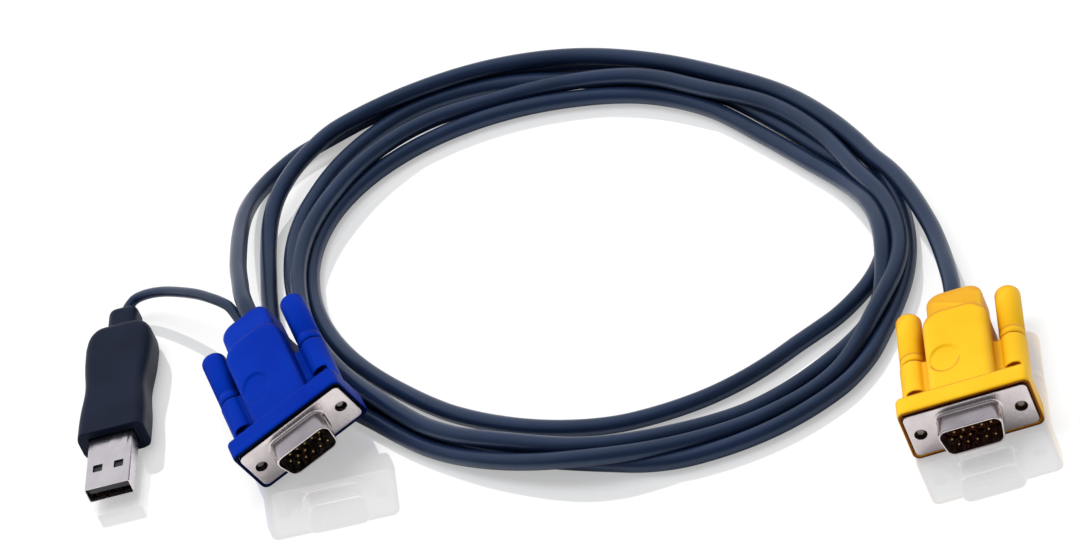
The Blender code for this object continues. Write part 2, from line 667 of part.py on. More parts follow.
def tube(name, points, diameter, look, resolution):
    """A plain cable solid along a route."""
    curve = bpy.data.curves.new(name, "CURVE")
    curve.dimensions = "3D"
    curve.bevel_depth = diameter / 2
    curve.bevel_resolution = resolution
    curve.use_fill_caps = True
    route = smooth_route(points, TUBE_STEP * diameter)
    spline = curve.splines.new("POLY")
    spline.points.add(len(route) - 1)
    for spot, point in zip(spline.points, route):
        spot.co = (*point, 1.0)
    obj = bpy.data.objects.new(name, curve)
    model.objects.link(obj)
    return finish(obj, look)


def coil_section(angle):
    """(inner, outer, top) of the coil's bundle at an angle, from the passes that lie there."""
    strands = []
    for lay in (FIRST_LAY, LAST_LAY):
        turn = angle + 360 * math.ceil((lay[-1][0] - angle) / 360)
        while turn <= lay[0][0]:
            strands.append(eased(lay, turn))
            turn += 360
    radius = CABLE_DIAMETER / 2
    inner = min(s[0] for s in strands) / 1000 - radius
    outer = max(s[0] for s in strands) / 1000 + radius
    top = max(s[1] for s in strands) * LAYER_STEP + CABLE_DIAMETER
    return inner, outer, top


def make_coil():
    """One closed ring of the coil's outer shape, lofted from a section every few degrees."""
    edge = CABLE_DIAMETER * 0.3
    # The outer side steps where a lead leaves the bundle or joins it.
    ends = {lay[index][0] % 360 for lay in (FIRST_LAY, LAST_LAY) for index in (0, -1)}
    sides = {end + side * COIL_END_DEGREES for end in ends for side in (-1, 1)}
    angles = sorted(sides | {a for a in range(0, 360, COIL_STEP_DEGREES) if all(abs(a - s) > 1 for s in sides)})
    bm = bmesh.new()
    rings = []
    for angle in angles:
        inner, outer, top = coil_section(angle)
        section = (
            (inner, edge), (inner + edge, 0), (outer - edge, 0), (outer, edge),
            (outer, top - edge), (outer - edge, top), (inner + edge, top), (inner, top - edge),
        )
        ring = []
        for outside, height in section:
            point = on_oval(angle, outside)
            point.z = height
            ring.append(bm.verts.new(point))
        rings.append(ring)
    for index, ring in enumerate(rings):
        following = rings[(index + 1) % len(rings)]
        for corner in range(len(ring)):
            right = (corner + 1) % len(ring)
            bm.faces.new((ring[corner], ring[right], following[right], following[corner]))
    bmesh.ops.recalc_face_normals(bm, faces=bm.faces)
    return finish(new_object("cable_coil", bm), "navy", smooth_angle=40.0)


def entry_points(frame, across, up, back, depth, straight):
    """Two points on a cable's axis: inside its bore, and a little way behind the plug."""
    bpy.context.view_layer.update()
    return [frame.matrix_world @ Vector((across, back + away, up)) for away in (GAP - depth, straight)]


def off_the_coil(point, towards, clearance):
    """Where a lead's tube ends, a little way off the coil's end face."""
    return point + (towards - point).normalized() * clearance


def make_cables(blue, yellow, usb):
    straight = CABLE_DIAMETER
    first, last = coil_points(FIRST_LAY), coil_points(LAST_LAY)
    start = entry_points(blue, *BLUE_ENTRY, REAR_END, GLAND_DEPTH, straight)
    lead = in_metres(BLUE_LEAD)
    lead.append(off_the_coil(first[0], lead[-1], 2 * GAP))
    tube("blue_lead", start + lead, CABLE_DIAMETER, "navy", 3)
    under = in_metres(UNDER_BLUE)
    under.insert(0, off_the_coil(first[-1], under[0], 2 * GAP))
    under.append(off_the_coil(last[0], under[-1], 2 * GAP))
    tube("loop_under_blue", under, CABLE_DIAMETER, "navy", 3)
    end = entry_points(yellow, *YELLOW_ENTRY, REAR_END, GLAND_DEPTH, straight)
    lead = in_metres(YELLOW_LEAD)
    lead.insert(0, off_the_coil(last[-1], lead[0], 4 * GAP))
    tube("yellow_lead", lead + end[::-1], CABLE_DIAMETER, "navy", 3)
    start = entry_points(blue, *BLUE_USB_ENTRY, REAR_END, GLAND_DEPTH, USB_CABLE_DIAMETER)
    neck_end = USB_GRIP_LENGTH + USB_NECK_LENGTH
    end = entry_points(usb, 0, 0, neck_end, GLAND_DEPTH, USB_CABLE_DIAMETER)
    tube("usb_cable", start + in_metres(USB_LEAD) + end[::-1], USB_CABLE_DIAMETER, "navy", 2)


def main():
    clear_scene()
    yellow = make_video_plug(
        "yellow", "yellow", "brown", YELLOW_PLACE, [(*YELLOW_ENTRY, CABLE_DIAMETER)],
    )
    blue = make_video_plug(
        "blue", "blue", "black", BLUE_PLACE,
        [(*BLUE_ENTRY, CABLE_DIAMETER), (*BLUE_USB_ENTRY, USB_CABLE_DIAMETER)],
    )
    usb = make_usb_plug()
    make_coil()
    make_cables(blue, yellow, usb)


main()
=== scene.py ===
import math
import bmesh
import bpy
from mathutils import Euler, Matrix, Vector


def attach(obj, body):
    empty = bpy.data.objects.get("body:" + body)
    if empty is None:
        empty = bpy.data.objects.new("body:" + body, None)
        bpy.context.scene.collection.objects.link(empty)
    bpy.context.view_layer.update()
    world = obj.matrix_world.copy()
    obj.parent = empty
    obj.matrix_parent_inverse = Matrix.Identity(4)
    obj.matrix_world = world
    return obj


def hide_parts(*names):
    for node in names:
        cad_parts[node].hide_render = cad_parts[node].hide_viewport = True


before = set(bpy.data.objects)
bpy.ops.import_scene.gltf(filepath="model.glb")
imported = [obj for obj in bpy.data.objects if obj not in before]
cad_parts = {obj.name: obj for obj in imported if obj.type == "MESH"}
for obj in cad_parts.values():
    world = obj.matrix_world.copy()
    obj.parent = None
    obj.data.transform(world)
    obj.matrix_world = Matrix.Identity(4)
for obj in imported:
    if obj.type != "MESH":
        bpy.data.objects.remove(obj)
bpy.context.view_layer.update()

mainBody = "cable_set"
clearance = 0.0003
overcut = 0.0010  # how far a cutter runs past the surface that it opens
touching = 1e-6
aligned = 0.9  # cosine from which an edge or a face counts as lying along an axis

# camera

cameraValues = {
    "lookAt": (-0.10685, 0.10726, 0.0),
    "turn": 13.36,
    "elevation": 37.4,
    "roll": -24.57,
    "distance": 2.0,
    "viewWidth": 0.2707,
    "sensor": 36.0,
    "clip": (0.05, 20.0),
}


def makeCamera(values):
    data = bpy.data.cameras.new("photoCamera")
    cam = bpy.data.objects.new("photoCamera", data)
    bpy.context.scene.collection.objects.link(cam)
    turn, rise = math.radians(values["turn"]), math.radians(values["elevation"])
    ahead = Vector((-math.sin(turn) * math.cos(rise), math.cos(turn) * math.cos(rise), -math.sin(rise)))
    level = Vector((math.cos(turn), math.sin(turn), 0))
    above = level.cross(ahead)
    roll = math.radians(values["roll"])
    across = math.cos(roll) * level + math.sin(roll) * above
    upright = math.cos(roll) * above - math.sin(roll) * level
    place = Matrix((across, upright, -ahead)).transposed().to_4x4()
    place.translation = Vector(values["lookAt"]) - ahead * values["distance"]
    cam.matrix_world = place
    data.sensor_width = values["sensor"]
    data.lens = values["sensor"] * values["distance"] / values["viewWidth"]
    data.clip_start, data.clip_end = values["clip"]
    bpy.context.scene.camera = cam


makeCamera(cameraValues)
print("camera ready")

# where the plugs lie: flange front or shell root, then turn, nose-down tilt and roll in degrees

plugPlaces = {
    "yellow": ((0.0, -0.0030, 0.00775), 0.0, 0.0, 0.0),
    "blue": ((-0.16701, 0.05716, 0.0116), 15.2, 6.2, -15.8),
    "usb": ((-0.2193, 0.0851, 0.0045), -3.6, 0.0, 0.0),
}


def plugMatrix(name):
    spot, turn, noseDown, roll = plugPlaces[name]
    angles = Euler([math.radians(a) for a in (noseDown, roll, turn)], "YXZ")
    return Matrix.Translation(spot) @ angles.to_matrix().to_4x4()


# cables

cableValues = {
    "diameter": 0.0044,
    "usbDiameter": 0.0027,
    "layerStep": 0.0038,
    "hoodEnd": 0.0450,
    "neckEnd": 0.0475,
    "glandDepth": 0.0050,
    "yellowEntry": (-0.0008, 0.0),
    "blueEntry": (0.0016, 0.0010),
    "blueUsbEntry": (-0.0021, -0.0020),
    "ovalCentre": (-0.0942, 0.1051),
    "ovalLong": 0.0768,
    "ovalShort": 0.0531,
    "ovalTurn": -36.6,
    "coilStepDegrees": 6,
    "pointStep": 0.0016,
    "roundSteps": 6,
}

# how the cable lies in the coil: angle round the oval, mm outside its edge, layer
firstLay = (
    (165, 28.0, 0), (150, 24.6, 0), (135, 22.4, 0), (120, 19.5, 0), (105, 17.0, 0), (90, 15.2, 0),
    (60, 11.6, 0), (45, 12.2, 0), (30, 12.8, 0), (15, 14.7, 0), (0, 17.6, 0), (-15, 23.2, 0),
    (-45, 23.0, 0), (-60, 18.3, 0), (-75, 15.0, 0), (-90, 12.0, 0), (-105, 9.3, 0), (-120, 8.6, 0),
    (-150, 7.8, 0), (-180, 13.5, 0), (-195, 17.5, 0), (-210, 20.0, 0), (-225, 17.6, 0), (-240, 13.2, 0),
    (-255, 11.3, 0), (-270, 9.6, 0), (-285, 6.0, 0), (-300, 5.0, 0), (-315, 7.4, 0), (-330, 8.0, 0),
    (-345, 7.4, 0), (-360, 4.0, 0), (-375, 0.9, 0), (-405, 4.0, 0), (-420, 5.6, 0), (-450, 4.4, 0),
    (-465, 2.9, 0), (-480, 2.6, 0), (-510, 3.2, 0), (-540, 4.4, 0), (-570, 5.1, 0), (-600, 5.9, 0),
    (-615, 6.1, 0), (-630, 4.2, 0), (-645, 0.8, 0), (-660, 0.2, 0), (-675, 2.9, 0.2), (-690, 6.3, 0.9),
    (-705, 9.5, 1), (-720, 13.1, 0.1), (-735, 13.2, 0), (-750, 14.0, 0), (-765, 15.0, 0.5),
    (-780, 16.1, 1), (-795, 14.3, 1.1), (-810, 13.4, 1), (-825, 10.0, 1.05), (-840, 8.2, 1),
    (-855, 6.8, 1), (-870, 5.6, 1), (-900, 5.6, 1), (-915, 7.4, 0.9), (-930, 9.3, 0.7),
    (-945, 9.7, 0.4), (-960, 9.6, 0.7), (-975, 9.2, 1), (-990, 6.9, 1), (-1005, 7.5, 1),
    (-1020, 6.8, 1), (-1035, 6.4, 1), (-1050, 10.4, 1), (-1065, 13.8, 1), (-1080, 15.3, 1),
    (-1095, 18.2, 0.1), (-1110, 18.7, 0.1), (-1125, 19.8, 0.6), (-1140, 20.5, 1), (-1155, 19.0, 0.5),
    (-1170, 16.7, 0), (-1185, 13.9, 0), (-1196, 13.9, 0),
)
lastLay = (
    (165, 24.8, 1), (150, 22.3, 1), (135, 20.5, 1), (120, 18.3, 1), (105, 15.3, 1), (90, 12.8, 1),
    (75, 12.2, 1), (60, 11.2, 1.15), (45, 12.0, 1), (38, 14.3, 1), (30, 16.6, 1), (22, 20.2, 0.95),
)

# off the coil, in millimetres
blueLead = (
    (-180.0, 110.7, 17.6), (-180.9, 117.4, 16.4), (-182.0, 125.5, 14.6), (-182.8, 135.9, 12.0),
    (-183.3, 146.4, 9.2), (-183.0, 156.9, 6.5), (-181.6, 165.1, 4.2), (-178.9, 171.5, 2.7),
    (-175.4, 175.9, 2.2), (-169.5, 180.3, 2.2),
)
underBlue = (
    (-170.4, 92.5, 2.2), (-174.8, 103.0, 2.2), (-177.2, 113.5, 2.2), (-178.1, 125.0, 2.3),
    (-178.2, 135.0, 2.5), (-178.0, 144.0, 3.0), (-177.0, 153.0, 4.2), (-175.1, 159.7, 5.3),
    (-172.6, 164.9, 6.0), (-169.3, 170.6, 6.1), (-165.0, 175.8, 6.1),
)
yellowLead = (
    (-3.9, 71.0, 5.9), (-2.6, 63.5, 6.4), (-1.7, 57.0, 7.1), (-1.0, 50.5, 7.6),
)
usbLead = (
    (-182.5, 106.8, 14.9), (-184.3, 110.6, 15.4), (-186.8, 113.9, 15.2), (-189.7, 117.5, 14.4),
    (-192.8, 121.2, 13.4), (-196.2, 124.8, 12.2), (-200.7, 129.3, 10.4), (-204.5, 132.6, 9.0),
    (-208.2, 135.2, 7.6), (-211.4, 136.9, 6.3), (-214.0, 137.3, 5.3),
)


def onOval(angle, outside):
    turn = math.radians(angle)
    longHalf, shortHalf = cableValues["ovalLong"], cableValues["ovalShort"]
    normal = Vector((shortHalf * math.cos(turn), longHalf * math.sin(turn), 0)).normalized()
    spot = Vector((longHalf * math.cos(turn), shortHalf * math.sin(turn), 0)) + outside * normal
    lean = Matrix.Rotation(math.radians(cableValues["ovalTurn"]), 3, "Z")
    return Vector((*cableValues["ovalCentre"], 0.0)) + lean @ spot


def eased(lay, angle):
    index = 0
    while index < len(lay) - 2 and lay[index + 1][0] > angle:
        index += 1
    (a0, o0, l0), (a1, o1, l1) = lay[index], lay[index + 1]
    before = lay[max(index - 1, 0)]
    after = lay[min(index + 2, len(lay) - 1)]
    share = (angle - a0) / (a1 - a0)
    square, cube = share ** 2, share ** 3
    weights = (2 * cube - 3 * square + 1, cube - 2 * square + share, 3 * square - 2 * cube, cube - square)
    found = []
    for part, v0, v1 in ((1, o0, o1), (2, l0, l1)):
        slope0 = (v1 - before[part]) / (a1 - before[0]) * (a1 - a0)
        slope1 = (after[part] - v0) / (after[0] - a0) * (a1 - a0)
        found.append(weights[0] * v0 + weights[1] * slope0 + weights[2] * v1 + weights[3] * slope1)
    return found


def coilPoints(lay):
    steps = round((lay[0][0] - lay[-1][0]) / cableValues["coilStepDegrees"])
    points = []
    for step in range(steps + 1):
        angle = lay[0][0] + (lay[-1][0] - lay[0][0]) * step / steps
        outside, layer = eased(lay, angle)
        point = onOval(angle, outside / 1000)
        point.z = cableValues["diameter"] / 2 + max(layer, 0) * cableValues["layerStep"]
        points.append(point)
    return points


def smoothRoute(points, step):
    route = []
    for index in range(len(points) - 1):
        before = points[max(index - 1, 0)]
        start, end = points[index], points[index + 1]
        after = points[min(index + 2, len(points) - 1)]
        pieces = max(1, round((end - start).length / step))
        for piece in range(pieces):
            t = piece / pieces
            route.append(0.5 * (
                2 * start + (end - before) * t + (2 * before - 5 * start + 4 * end - after) * t ** 2
                + (3 * start - before - 3 * end + after) * t ** 3
            ))
    route.append(points[-1])
    return route


def inMetres(points):
    return [Vector(p) / 1000 for p in points]


def entryPoints(plug, entry, back, straight):
    across, up = entry
    place = plugMatrix(plug)
    depth = cableValues["glandDepth"]
    stops = (clearance - depth, -depth / 2, 0, straight)
    return [place @ Vector((across, back + away, up)) for away in stops]


def makeCable(name, points, diameter):
    curve = bpy.data.curves.new(name, "CURVE")
    curve.dimensions = "3D"
    curve.bevel_depth = diameter / 2
    curve.bevel_resolution = cableValues["roundSteps"]
    curve.use_fill_caps = True
    route = smoothRoute(points, cableValues["pointStep"])
    spline = curve.splines.new("POLY")
    spline.points.add(len(route) - 1)
    for spot, point in zip(spline.points, route):
        spot.co = (*point, 1.0)
    spline.use_smooth = True
    cable = bpy.data.objects.new(name, curve)
    bpy.context.scene.collection.objects.link(cable)
    cable.data.materials.append(looks["jacket"])
    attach(cable, mainBody)
    length = sum((b - a).length for a, b in zip(route, route[1:]))
    return cable, route, length


# materials

def newMaterial(name, colour, roughness, metallic=0.0, **sockets):
    made = bpy.data.materials.new(name)
    made.use_nodes = True
    shader = made.node_tree.nodes["Principled BSDF"]
    shader.inputs["Base Color"].default_value = (*colour, 1.0)
    shader.inputs["Roughness"].default_value = roughness
    shader.inputs["Metallic"].default_value = metallic
    for socket, value in sockets.items():
        shader.inputs[socket.replace("_", " ")].default_value = value
    made.diffuse_color = (*colour, 1.0)
    return made, made.node_tree, shader


def addNoise(tree, scale, detail, stretch=(1, 1, 1)):
    place = tree.nodes.new("ShaderNodeTexCoord")
    mapping = tree.nodes.new("ShaderNodeMapping")
    mapping.inputs["Scale"].default_value = stretch
    noise = tree.nodes.new("ShaderNodeTexNoise")
    noise.inputs["Scale"].default_value = scale
    noise.inputs["Detail"].default_value = detail
    tree.links.new(place.outputs["Object"], mapping.inputs["Vector"])
    tree.links.new(mapping.outputs["Vector"], noise.inputs["Vector"])
    return noise.outputs["Fac"]


def mapRange(tree, value, low, high, fromLow=0.3, fromHigh=0.7):
    # without a range of its own the value is noise, most of which lies between 0.3 and 0.7
    node = tree.nodes.new("ShaderNodeMapRange")
    node.inputs["From Min"].default_value = fromLow
    node.inputs["From Max"].default_value = fromHigh
    node.inputs["To Min"].default_value = low
    node.inputs["To Max"].default_value = high
    tree.links.new(value, node.inputs["Value"])
    return node.outputs["Result"]


mixSockets = {"share": 0, "first": 6, "second": 7, "result": 2}  # of a Mix node that mixes colours


def newMix(tree, share, second, blend="MIX"):
    node = tree.nodes.new("ShaderNodeMix")
    node.data_type = "RGBA"
    node.blend_type = blend
    node.inputs[mixSockets["second"]].default_value = (*second, 1.0)
    tree.links.new(share, node.inputs[mixSockets["share"]])
    return node.inputs[mixSockets["first"]], node.outputs[mixSockets["result"]]


def mixColour(tree, share, first, second):
    start, mixed = newMix(tree, share, second)
    start.default_value = (*first, 1.0)
    return mixed


def tintColour(tree, share, colour, tint):
    start, tinted = newMix(tree, share, tint, "MULTIPLY")
    tree.links.new(colour, start)
    return tinted


def addBump(tree, shader, value, strength, distance):
    bump = tree.nodes.new("ShaderNodeBump")
    bump.inputs["Strength"].default_value = strength
    bump.inputs["Distance"].default_value = distance
    tree.links.new(value, bump.inputs["Height"])
    tree.links.new(bump.outputs["Normal"], shader.inputs["Normal"])


warmSheen, coolSheen, plainSheen = (1.0, 0.90, 0.60, 1.0), (0.58, 0.76, 1.0, 1.0), (1.0, 1.0, 1.0, 1.0)
# the under, behind and hollow tints are painted shade
plasticValues = {
    "yellow": {
        "light": (0.89, 0.52, 0.014), "deep": (0.81, 0.43, 0.007), "roughness": (0.38, 0.52),
        "underShade": (0.26, 0.11, 0.06), "behind": (0.72, 0.60, 0.60), "hollowShade": (0.62, 0.34, 0.30),
        "bump": 0.10, "sheen": (0.16, warmSheen),
    },
    "blue": {
        "light": (0.0, 0.030, 0.36), "deep": (0.0, 0.016, 0.27), "roughness": (0.44, 0.58),
        "underShade": (0.5, 0.08, 0.05), "behind": (0.9, 0.62, 0.66), "hollowShade": (0.5, 0.22, 0.26),
        "bump": 0.10, "sheen": (0.05, coolSheen),
    },
    "jacket": {
        "light": (0.0095, 0.018, 0.050), "deep": (0.0048, 0.011, 0.032), "roughness": (0.28, 0.40),
        "bump": 0.05, "sheen": (0.50, coolSheen),
    },
    "grip": {
        "light": (0.003, 0.006, 0.019), "deep": (0.002, 0.003, 0.012), "roughness": (0.46, 0.60),
        "bump": 0.14, "sheen": (0.18, coolSheen),
    },
    "black": {
        "light": (0.022, 0.022, 0.026), "deep": (0.010, 0.010, 0.012), "roughness": (0.40, 0.55),
        "bump": 0.10, "sheen": (0.50, plainSheen),
    },
    "brown": {
        "light": (0.120, 0.018, 0.016), "deep": (0.050, 0.008, 0.008), "roughness": (0.35, 0.50),
        "bump": 0.10, "sheen": (0.50, plainSheen),
    },
    "white": {
        "light": (0.80, 0.79, 0.75), "deep": (0.68, 0.67, 0.62), "roughness": (0.45, 0.60),
        "bump": 0.10, "sheen": (0.50, plainSheen),
    },
}
plasticGrain = {"mottle": (45.0, 4.0), "grain": (3800.0, 2.0), "depth": 0.00004}  # noise: scale, detail
# painted shade: the colour is multiplied darker on faces turned towards each direction
facingShadeValues = {
    "underShade": {"toward": (0.05, -0.80, -0.60), "from": 0.24, "to": 0.66},  # painted shade on faces turned to the floor in front
    "behind": {"toward": (-0.08, 1.0, 0.0), "from": 0.03, "to": 0.16},  # painted shade on slopes that fall away behind
    # painted shade on faces turned up, used for the nickel plate
    "above": {"toward": (0.0, 0.0, 1.0), "from": 0.72, "to": 0.94},
}
# painted shade: a moulding's colour is darkened in its hollows, where ambient occlusion finds them
hollowShadeValues = {"distance": 0.0035, "from": 0.20, "to": 0.80, "samples": 8}


# painted shade, by which way a face turns
def paintFacingShade(tree, colour, shadedFacing, tint):
    normal = tree.nodes.new("ShaderNodeNewGeometry")
    toward = tree.nodes.new("ShaderNodeVectorMath")
    toward.operation = "DOT_PRODUCT"
    toward.inputs[1].default_value = shadedFacing["toward"]
    tree.links.new(normal.outputs["Normal"], toward.inputs[0])
    share = mapRange(tree, toward.outputs["Value"], 0.0, 1.0, shadedFacing["from"], shadedFacing["to"])
    return tintColour(tree, share, colour, tint)


# painted shade in hollows, from ambient occlusion
def paintHollowShade(tree, colour, tint):
    hollowShade = tree.nodes.new("ShaderNodeAmbientOcclusion")
    hollowShade.samples = hollowShadeValues["samples"]
    hollowShade.inputs["Distance"].default_value = hollowShadeValues["distance"]
    share = mapRange(tree, hollowShade.outputs["AO"], 1.0, 0.0, hollowShadeValues["from"], hollowShadeValues["to"])
    return tintColour(tree, share, colour, tint)


def makePlastic(name, values):
    level, tint = values["sheen"]
    made, tree, shader = newMaterial(
        name, values["light"], values["roughness"][0], Specular_IOR_Level=level, Specular_Tint=tint,
    )
    mottle = addNoise(tree, *plasticGrain["mottle"])
    colour = mixColour(tree, mapRange(tree, mottle, 0.0, 1.0), values["light"], values["deep"])
    # painted shade on faces turned one way and in hollows
    for shadedFacing in facingShadeValues:
        if shadedFacing in values:
            colour = paintFacingShade(tree, colour, facingShadeValues[shadedFacing], values[shadedFacing])
    if "hollowShade" in values:
        colour = paintHollowShade(tree, colour, values["hollowShade"])
    tree.links.new(colour, shader.inputs["Base Color"])
    grain = addNoise(tree, *plasticGrain["grain"])
    rough = mapRange(tree, mottle, *values["roughness"])
    tree.links.new(rough, shader.inputs["Roughness"])
    addBump(tree, shader, grain, values["bump"], plasticGrain["depth"])
    return made


metalValues = {
    "nickel": {
        "light": (0.68, 0.61, 0.61), "deep": (0.54, 0.485, 0.49), "roughness": (0.22, 0.32),
        # the above tint is painted shade on the plate's top faces
        "above": (0.62, 0.62, 0.66),
    },
    "plate": {"light": (0.64, 0.60, 0.62), "deep": (0.56, 0.52, 0.54), "roughness": (0.22, 0.32)},
    "gold": {"light": (0.52, 0.36, 0.15), "deep": (0.40, 0.26, 0.10), "roughness": (0.20, 0.34)},
    "steel": {"light": (0.26, 0.24, 0.23), "deep": (0.16, 0.15, 0.14), "roughness": (0.30, 0.45)},
}
metalGrain = {
    "patches": (160.0, 4.0), "marks": (900.0, 3.0), "stretch": (1, 1, 6), "bump": 0.03, "depth": 0.00005,
}


def makeMetal(name, values):
    made, tree, shader = newMaterial(name, values["light"], values["roughness"][0], 1.0)
    patches = addNoise(tree, *metalGrain["patches"])
    colour = mixColour(tree, mapRange(tree, patches, 0.0, 1.0), values["light"], values["deep"])
    # painted shade on top faces
    if "above" in values:
        colour = paintFacingShade(tree, colour, facingShadeValues["above"], values["above"])
    tree.links.new(colour, shader.inputs["Base Color"])
    tree.links.new(mapRange(tree, patches, *values["roughness"]), shader.inputs["Roughness"])
    marks = addNoise(tree, *metalGrain["marks"], metalGrain["stretch"])
    addBump(tree, shader, marks, metalGrain["bump"], metalGrain["depth"])
    return made


looks = {
    "yellow": makePlastic("yellowMoulding", plasticValues["yellow"]),
    "blue": makePlastic("blueMoulding", plasticValues["blue"]),
    "jacket": makePlastic("navyJacket", plasticValues["jacket"]),
    "grip": makePlastic("slateGrip", plasticValues["grip"]),
    "black": makePlastic("blackInsulator", plasticValues["black"]),
    "brown": makePlastic("brownInsulator", plasticValues["brown"]),
    "white": makePlastic("whiteMoulding", plasticValues["white"]),
    "nickel": makeMetal("nickelPlate", metalValues["nickel"]),
    "plate": makeMetal("brightPlate", metalValues["plate"]),
    "gold": makeMetal("goldPlate", metalValues["gold"]),
    "steel": makeMetal("zincPlate", metalValues["steel"]),
}
print("materials ready")

thick, thin, hoodEnd = cableValues["diameter"], cableValues["usbDiameter"], cableValues["hoodEnd"]
mainRoute = (
    entryPoints("blue", cableValues["blueEntry"], hoodEnd, thick)
    + inMetres(blueLead) + coilPoints(firstLay) + inMetres(underBlue) + coilPoints(lastLay)
    + inMetres(yellowLead)
    + entryPoints("yellow", cableValues["yellowEntry"], hoodEnd, thick)[::-1]
)
mainCable, route, length = makeCable("mainCable", mainRoute, thick)
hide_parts("cable_coil", "blue_lead", "loop_under_blue", "yellow_lead")
print("main cable", round(length, 3), "m")
usbRoute = (
    entryPoints("blue", cableValues["blueUsbEntry"], hoodEnd, thin)
    + inMetres(usbLead)
    + entryPoints("usb", (0.0, 0.0), cableValues["neckEnd"], thin)[::-1]
)
usbCable, route, length = makeCable("usbCable", usbRoute, thin)
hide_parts("usb_cable")
print("usb cable", round(length, 3), "m")

# mesh helpers


def newPiece(name, bm):
    mesh = bpy.data.meshes.new(name)
    bm.to_mesh(mesh)
    bm.free()
    piece = bpy.data.objects.new(name, mesh)
    bpy.context.scene.collection.objects.link(piece)
    return piece


def finishPiece(piece, look, plug, body, node, smoothAngle):
    piece.data.transform(plugMatrix(plug))
    piece.data.materials.clear()
    piece.data.materials.append(looks[look])
    piece.data.shade_smooth()
    piece.data.set_sharp_from_angle(angle=math.radians(smoothAngle))
    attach(piece, body)
    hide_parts(node)


def bevelEdges(bm, edges, width, segments):
    bmesh.ops.bevel(
        bm, geom=edges, offset=width, offset_type="OFFSET", segments=segments, profile=0.5,
        affect="EDGES", clamp_overlap=True, material=-1,
    )


def alongAxis(edge, axis):
    return abs((edge.verts[1].co - edge.verts[0].co).normalized()[axis]) > aligned


def backOf(edge):
    return max(vert.co.y for vert in edge.verts)


def boxMesh(low, high, bevels=()):
    # each bevel is (which edges, width, segments), in the order in which they are cut
    bm = bmesh.new()
    size = [h - l for l, h in zip(low, high)]
    middle = [(h + l) / 2 for l, h in zip(low, high)]
    bmesh.ops.create_cube(bm, size=1.0, matrix=Matrix.Translation(middle) @ Matrix.Diagonal((*size, 1.0)))
    for pick, width, segments in bevels:
        bevelEdges(bm, [e for e in bm.edges if pick(e)], width, segments)
    return bm


def rodMesh(x, z, start, end, diameter, sides=32):
    bm = bmesh.new()
    place = Matrix.Translation((x, (start + end) / 2, z)) @ Matrix.Rotation(math.radians(90), 4, "X")
    bmesh.ops.create_cone(
        bm, cap_ends=True, segments=sides, radius1=diameter / 2, radius2=diameter / 2,
        depth=end - start, matrix=place,
    )
    return bm


def turnedMesh(profile, sides, x=0.0, z=0.0):
    # the profile is (radius, y) from the front of the axis to its back, spun round it
    bm = bmesh.new()
    points = [bm.verts.new((x + radius, y, z)) for radius, y in profile]
    edges = [bm.edges.new(pair) for pair in zip(points, points[1:])]
    bmesh.ops.spin(
        bm, geom=points + edges, cent=(x, 0, z), axis=(0, 1, 0), angle=2 * math.pi, steps=sides,
        use_merge=True,
    )
    bmesh.ops.remove_doubles(bm, verts=bm.verts, dist=touching)
    bmesh.ops.recalc_face_normals(bm, faces=bm.faces)
    return bm


def combine(piece, others, operation):
    for other in others:
        step = piece.modifiers.new(other.name, "BOOLEAN")
        step.operation = operation
        step.solver = "EXACT"
        step.object = other
    bake(piece)
    for other in others:
        bpy.data.objects.remove(other)


def bake(piece):
    graph = bpy.context.evaluated_depsgraph_get()
    mesh = bpy.data.meshes.new_from_object(piece.evaluated_get(graph))
    piece.modifiers.clear()
    piece.data = mesh


def soften(piece, voxel, rounds):
    # rounds every edge a little, as a moulding's edges are
    remesh = piece.modifiers.new("remesh", "REMESH")
    remesh.mode = "VOXEL"
    remesh.voxel_size = voxel
    smooth = piece.modifiers.new("smooth", "SMOOTH")
    smooth.factor = 0.5
    smooth.iterations = rounds
    bake(piece)


# video plug

hoodValues = {
    "lip": (0.0330, 0.0155), "lipFront": 0.0003, "lipBack": 0.0060, "lipCorner": 0.0018, "lipRound": 0.0007,
    "body": (0.0162, 0.0140), "bodyEnd": 0.0357, "bodyCorner": 0.0020, "bodyRound": 0.0050,
    "rear": (0.0140, 0.0104), "rearEnd": 0.0450, "rearReach": 0.0100, "rearCorner": 0.0040,
    "rearEdge": 0.0016, "taperFrom": 0.0310, "rearTaper": (1.12, 0.76),
    "screwSpacing": 0.02499, "sleeveDiameter": 0.0068, "sleeveEnd": 0.0237, "webHeight": 0.0044,
    "pocketPast": 0.0018, "pocketEnd": 0.0125, "pocketFloor": 0.0019,
    "plate": (0.0308, 0.0125), "plateBack": 0.0019, "plateCorner": 0.0012,
    "collarRoom": (0.0173, 0.0094), "collarEnd": 0.0053, "coreRoom": (0.0138, 0.0094), "coreEnd": 0.0325,
    "screwHole": 0.0034, "voxel": 0.00028, "smoothing": 5,
    "markCentre": (-0.0032, 0.0168), "markHalf": (0.0034, 0.0042), "markDepth": 0.00045,
    "markWidth": 0.0007, "markLevel": 0.9,
}


